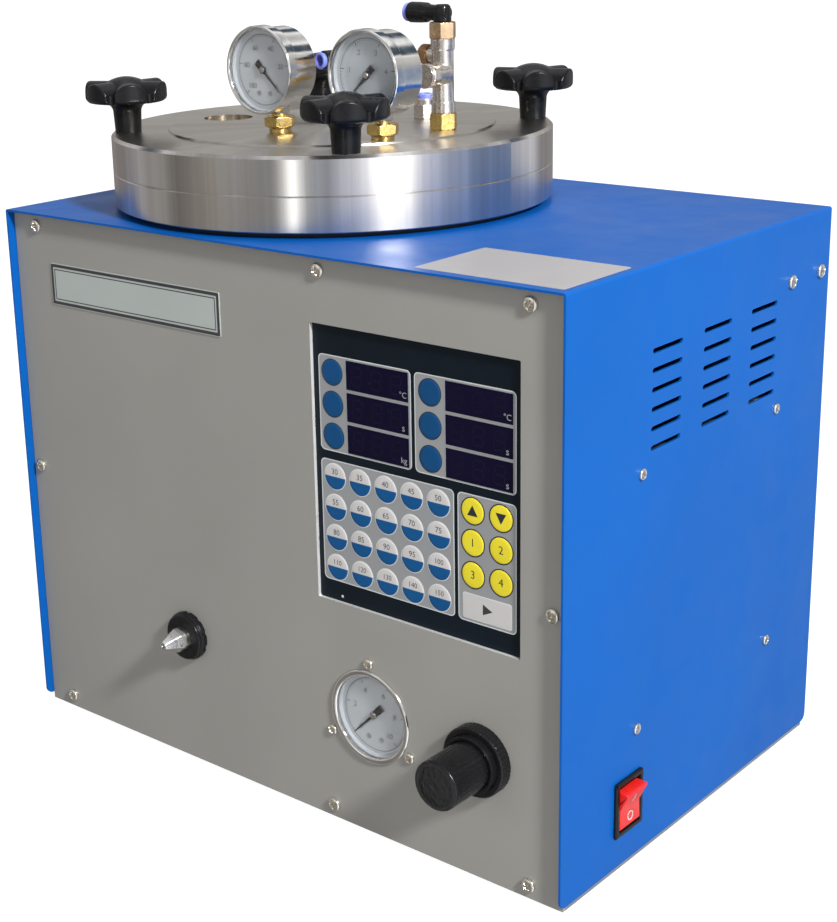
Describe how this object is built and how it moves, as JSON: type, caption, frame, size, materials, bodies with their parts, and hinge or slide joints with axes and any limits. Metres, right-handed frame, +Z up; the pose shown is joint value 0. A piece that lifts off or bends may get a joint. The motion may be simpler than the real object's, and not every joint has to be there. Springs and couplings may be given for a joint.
{
  "type": "jewelry wax injector",
  "caption": "Bench-top wax injector: heated pot under a clamped lid with gauges, in a sheet-metal cabinet with keypad, regulator and nozzle.",
  "frame": {"origin": "centre of the bounding box at the bench, under the feet", "axes": "+Z up, -Y out of the front panel, +X to the viewer's right as one faces the panel"},
  "size_m": [0.3968, 0.303, 0.4313],
  "materials": {
    "blue_coat": "satin powder coat, fine orange peel",
    "panel_grey": "satin grey paint",
    "bare_sheet": "bare zinc-coated sheet",
    "screw_steel": "bright plated",
    "turned_aluminium": "turned, fine circular lines",
    "plated": "nickel plate, slightly dull",
    "case_chrome": "polished drawn steel",
    "brass": "machined brass",
    "steel": "bright machined steel",
    "black_plastic": "black moulded plastic",
    "blue_plastic": "violet-blue plastic",
    "red_plastic": "red moulded plastic",
    "white_plate": "bare white plate",
    "keypad": "near-black printed membrane",
    "key_print": "grey, blue, white and yellow print",
    "display_dark": "dark display window",
    "board": "circuit board",
    "dial": "grey-white dial",
    "needle": "black",
    "glass": "clear",
    "rubber": "black rubber",
    "seal": "heat-proof rubber",
    "heater": "mica band in steel"
  },
  "bodies": {
    "cabinet": {"base_tray": "bare_sheet", "front_frame": "bare_sheet", "feet": "rubber", "wrap_cover": "blue_coat", "front_panel": "panel_grey", "rear_panel": "blue_coat", "panel_screws": "screw_steel", "side_screws": "screw_steel", "inner_plate": "bare_sheet", "badge_plate": "white_plate", "keypad_overlay": "keypad", "display_modules": "display_dark", "control_board": "board", "panel_gauge_case": "case_chrome", "panel_gauge_glass": "glass", "panel_gauge_dial": "dial", "regulator_body": "black_plastic", "regulator_nut": "black_plastic", "nozzle_disc": "black_plastic", "valve_body": "brass", "rocker_frame": "black_plastic", "tank": "turned_aluminium", "tank_seat": "rubber", "heater_band": "heater", "lid_seal": "seal", "power_inlet": "black_plastic", "rear_ports": "plated"},
    "lid": {"lid": "turned_aluminium", "fill_plug": "brass", "brass_adaptors": "brass", "vacuum_gauge_case": "case_chrome", "vacuum_gauge_glass": "glass", "vacuum_gauge_dial": "dial", "pressure_gauge_case": "case_chrome", "pressure_gauge_glass": "glass", "pressure_gauge_dial": "dial", "tee_body": "plated", "tee_plug": "brass", "riser": "plated", "straight_port": "plated"},
    "panel_gauge_needle": {"panel_gauge_needle": "needle"},
    "regulator_stem": {"regulator_stem": "steel"},
    "regulator_knob": {"regulator_knob": "black_plastic"},
    "nozzle_tip": {"nozzle_tip": "steel"},
    "rocker_paddle": {"rocker_paddle": "red_plastic"},
    "vacuum_gauge_needle": {"vacuum_gauge_needle": "needle"},
    "pressure_gauge_needle": {"pressure_gauge_needle": "needle"},
    "tee_elbow": {"tee_elbow": "black_plastic"},
    "tee_elbow_ring": {"tee_elbow_ring": "blue_plastic"},
    "riser_elbow": {"riser_elbow": "black_plastic"},
    "riser_elbow_ring": {"riser_elbow_ring": "blue_plastic"},
    "straight_port_ring": {"straight_port_ring": "blue_plastic"},
    "star_grip_1": {"star_grip_1": "black_plastic"},
    "star_grip_2": {"star_grip_2": "black_plastic"},
    "star_grip_3": {"star_grip_3": "black_plastic"},
    "star_grip_4": {"star_grip_4": "black_plastic"},
    "stud_1": {"stud_1": "steel"},
    "stud_2": {"stud_2": "steel"},
    "stud_3": {"stud_3": "steel"},
    "stud_4": {"stud_4": "steel"}
  },
  "joints": [
    {"name": "lid_lift", "type": "slide", "parent": "cabinet", "child": "lid", "axis": [0, 0, 1], "range_m": [0, 0.06]},
    {"name": "stud_1_rise", "type": "slide", "parent": "lid", "child": "stud_1", "axis": [0, 0, 1], "range_m": [0, 0.01502]},
    {"name": "grip_1_turn", "type": "hinge", "parent": "stud_1", "child": "star_grip_1", "pos_m": [0.02503, -0.07128, 0.3622], "axis": [0, 0, 1], "range_deg": [0, 4320]},
    {"name": "stud_2_rise", "type": "slide", "parent": "lid", "child": "stud_2", "axis": [0, 0, 1], "range_m": [0, 0.01502]},
    {"name": "grip_2_turn", "type": "hinge", "parent": "stud_2", "child": "star_grip_2", "pos_m": [0.02503, 0.09333, 0.3622], "axis": [0, 0, 1], "range_deg": [0, 4320]},
    {"name": "stud_3_rise", "type": "slide", "parent": "lid", "child": "stud_3", "axis": [0, 0, 1], "range_m": [0, 0.01502]},
    {"name": "grip_3_turn", "type": "hinge", "parent": "stud_3", "child": "star_grip_3", "pos_m": [-0.13959, 0.09333, 0.3622], "axis": [0, 0, 1], "range_deg": [0, 4320]},
    {"name": "stud_4_rise", "type": "slide", "parent": "lid", "child": "stud_4", "axis": [0, 0, 1], "range_m": [0, 0.01502]},
    {"name": "grip_4_turn", "type": "hinge", "parent": "stud_4", "child": "star_grip_4", "pos_m": [-0.13959, -0.07128, 0.3622], "axis": [0, 0, 1], "range_deg": [0, 4320]},
    {"name": "panel_needle_turn", "type": "hinge", "parent": "cabinet", "child": "panel_gauge_needle", "pos_m": [0.06922, -0.11613, 0.076], "axis": [0, 1, 0], "range_deg": [0, 270], "stiffness_Nm_per_rad": 0.001},
    {"name": "vacuum_needle_turn", "type": "hinge", "parent": "lid", "child": "vacuum_gauge_needle", "pos_m": [-0.05518, -0.05097, 0.3982], "axis": [0, -1, 0], "range_deg": [0, 270], "stiffness_Nm_per_rad": 0.001},
    {"name": "pressure_needle_turn", "type": "hinge", "parent": "lid", "child": "pressure_gauge_needle", "pos_m": [0.01632, -0.04788, 0.3982], "axis": [0, 1, 0], "range_deg": [0, 270], "stiffness_Nm_per_rad": 0.001},
    {"name": "tee_elbow_swivel", "type": "hinge", "parent": "lid", "child": "tee_elbow", "pos_m": [0.01572, 0.02133, 0.4257], "axis": [0, 0, 1], "continuous": true},
    {"name": "riser_elbow_swivel", "type": "hinge", "parent": "lid", "child": "riser_elbow", "pos_m": [-0.07118, 0.04652, 0.3964], "axis": [0, 0, 1], "continuous": true},
    {"name": "tee_ring_press", "type": "slide", "parent": "tee_elbow", "child": "tee_elbow_ring", "axis": [1, 0, 0], "range_m": [0, 0.0012], "stiffness_N_per_m": 200},
    {"name": "riser_ring_press", "type": "slide", "parent": "riser_elbow", "child": "riser_elbow_ring", "axis": [0.2079, 0.9781, 0], "range_m": [0, 0.0012], "stiffness_N_per_m": 200},
    {"name": "straight_ring_press", "type": "slide", "parent": "lid", "child": "straight_port_ring", "axis": [0, 0, -1], "range_m": [0, 0.0012], "stiffness_N_per_m": 200},
    {"name": "rocker_tip", "type": "hinge", "parent": "cabinet", "child": "rocker_paddle", "pos_m": [0.19102, -0.05987, 0.0443], "axis": [0, -1, 0], "range_deg": [0, 24]},
    {"name": "regulator_turn", "type": "hinge", "parent": "cabinet", "child": "regulator_stem", "pos_m": [0.14072, -0.11463, 0.0758], "axis": [0, -1, 0], "range_deg": [0, 1440]},
    {"name": "regulator_pull", "type": "slide", "parent": "regulator_stem", "child": "regulator_knob", "axis": [0, -1, 0], "range_m": [0, 0.0025]},
    {"name": "nozzle_press", "type": "slide", "parent": "cabinet", "child": "nozzle_tip", "axis": [0, 1, 0], "range_m": [0, 0.003], "stiffness_N_per_m": 800}
  ],
  "couplings": [
    {"joint": "stud_1_rise", "follows": "grip_1_turn", "m_per_rad": 0.00019894},
    {"joint": "stud_2_rise", "follows": "grip_2_turn", "m_per_rad": 0.00019894},
    {"joint": "stud_3_rise", "follows": "grip_3_turn", "m_per_rad": 0.00019894},
    {"joint": "stud_4_rise", "follows": "grip_4_turn", "m_per_rad": 0.00019894}
  ]
}
